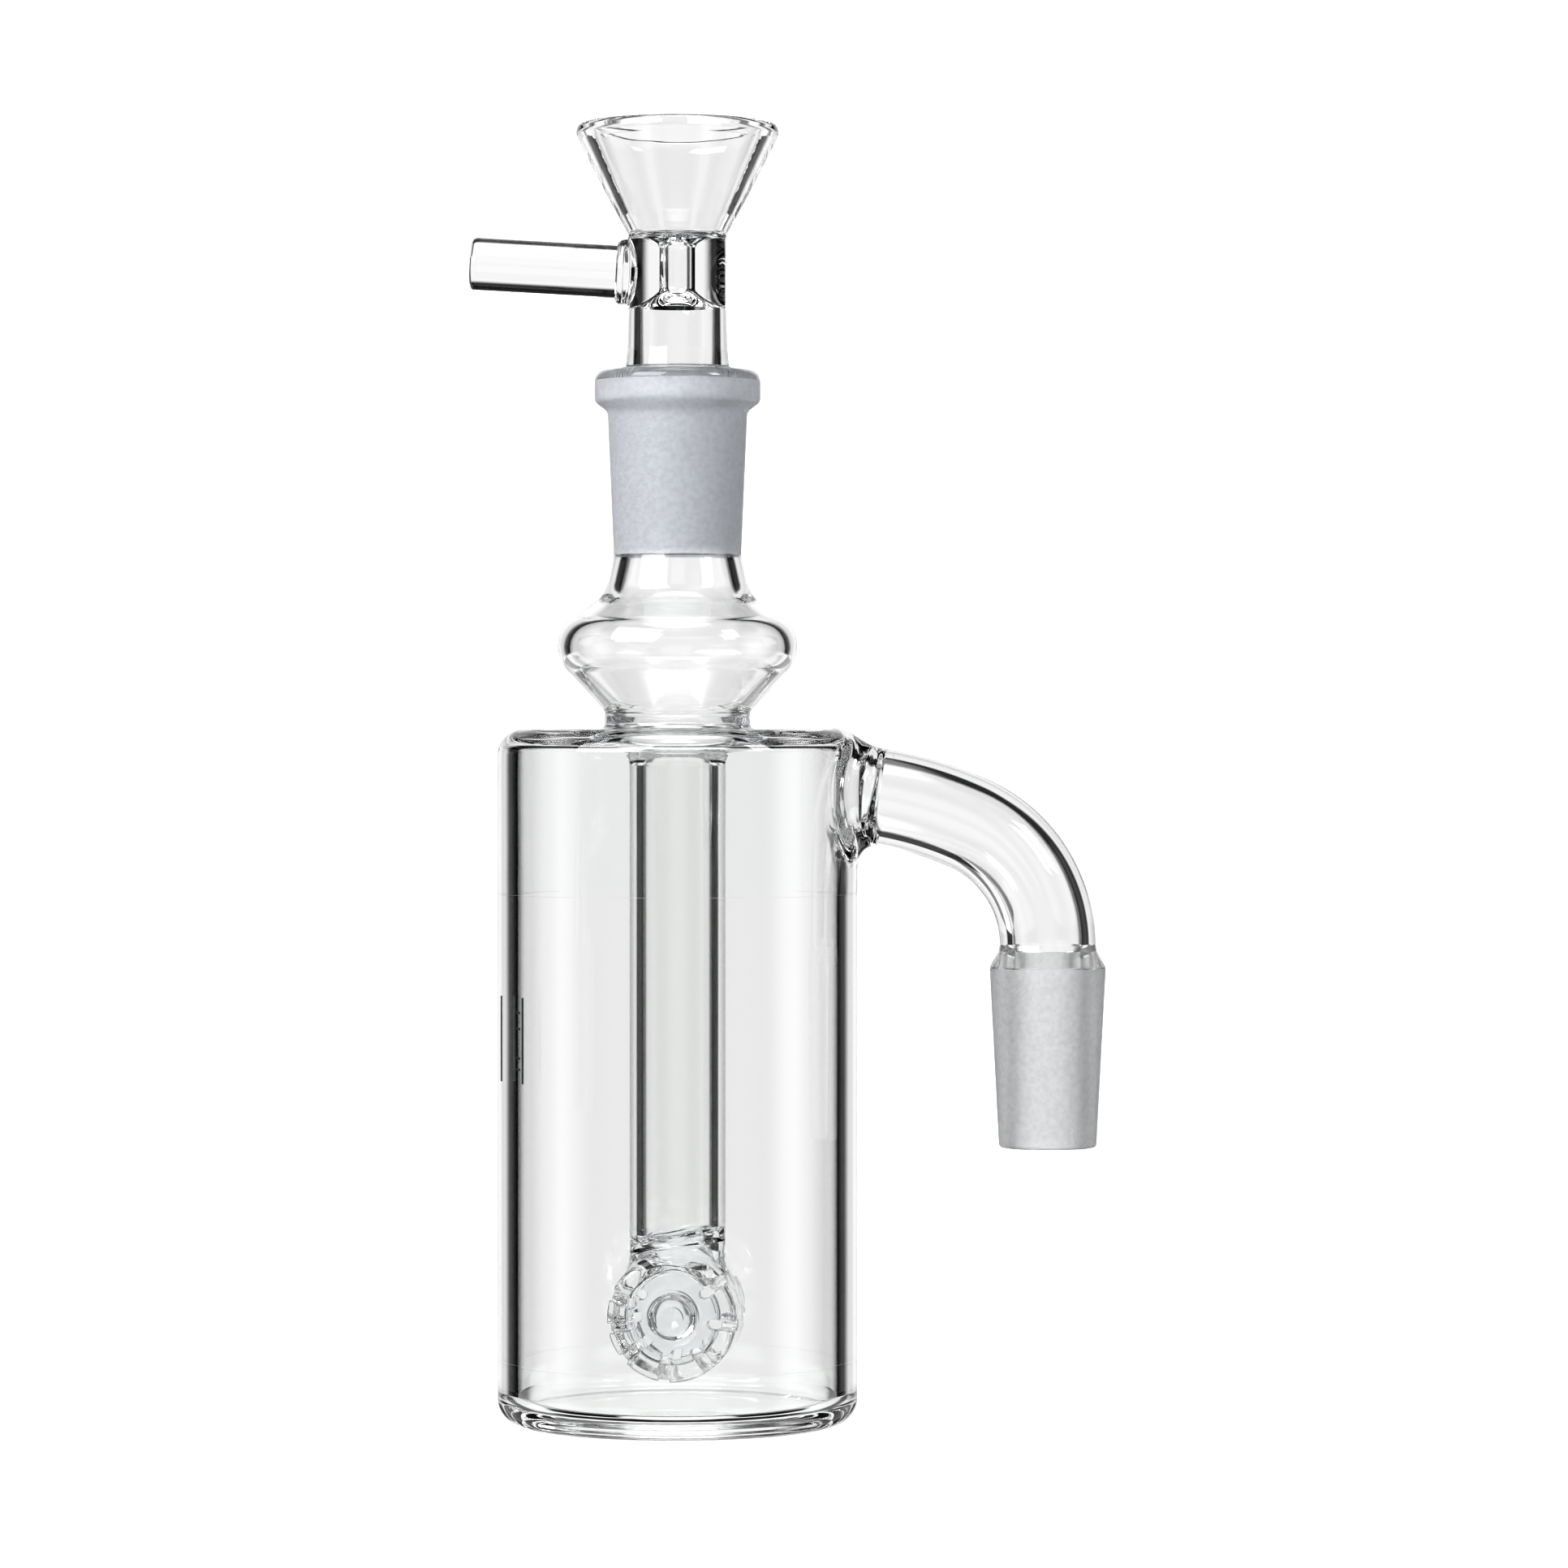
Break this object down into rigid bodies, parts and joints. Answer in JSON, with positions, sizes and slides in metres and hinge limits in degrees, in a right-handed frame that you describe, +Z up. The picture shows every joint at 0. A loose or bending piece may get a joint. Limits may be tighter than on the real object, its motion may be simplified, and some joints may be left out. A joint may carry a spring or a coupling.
{
  "type": "water pipe ash catcher",
  "caption": "Clear glass ash catcher: round can with a slotted drum diffuser on a downstem, bulbed neck with a ground socket, loose funnel bowl and a bent arm ending in a ground male joint.",
  "frame": {"origin": "centre of the can's flat foot, on the surface it stands on", "axes": "+Z up through the can, the downstem, the neck and the bowl; +X towards the side arm and its ground joint; the bowl's handle points along -X"},
  "size_m": [0.0795, 0.045, 0.1622],
  "materials": {
    "clear_glass": "polished clear borosilicate glass",
    "weld_glass": "flame-worked weld bead, faint green where the glass is thick",
    "drum_glass": "flame-worked clear glass with sawn slots",
    "ground_glass": "ground frosted glass",
    "print": "fired-on dark print"
  },
  "bodies": {
    "catcher": {"can_wall": "clear_glass", "can_base": "clear_glass", "can_roof": "clear_glass", "neck_weld": "weld_glass", "neck_bulb": "clear_glass", "socket": "ground_glass", "downstem_seal": "weld_glass", "downstem": "clear_glass", "downstem_foot": "weld_glass", "drum_barrel": "drum_glass", "drum_front_plate": "drum_glass", "drum_back_plate": "drum_glass", "arm_weld": "weld_glass", "arm_sweep": "clear_glass", "arm_bend": "clear_glass", "arm_shoulder": "clear_glass", "outlet_taper": "ground_glass", "print_patch": "print"},
    "bowl_cone": {"bowl_taper": "ground_glass"},
    "bowl": {"bowl_neck": "clear_glass", "bowl_throat": "weld_glass", "bowl_funnel": "clear_glass", "handle_weld": "weld_glass", "bowl_handle": "clear_glass"}
  },
  "joints": [
    {"name": "bowl_lift", "type": "slide", "parent": "catcher", "child": "bowl_cone", "axis": [0, 0, 1], "range_m": [0, 0.035]},
    {"name": "bowl_turn", "type": "hinge", "parent": "bowl_cone", "child": "bowl", "pos_m": [0, 0, 0.135], "axis": [0, 0, 1], "continuous": true}
  ]
}
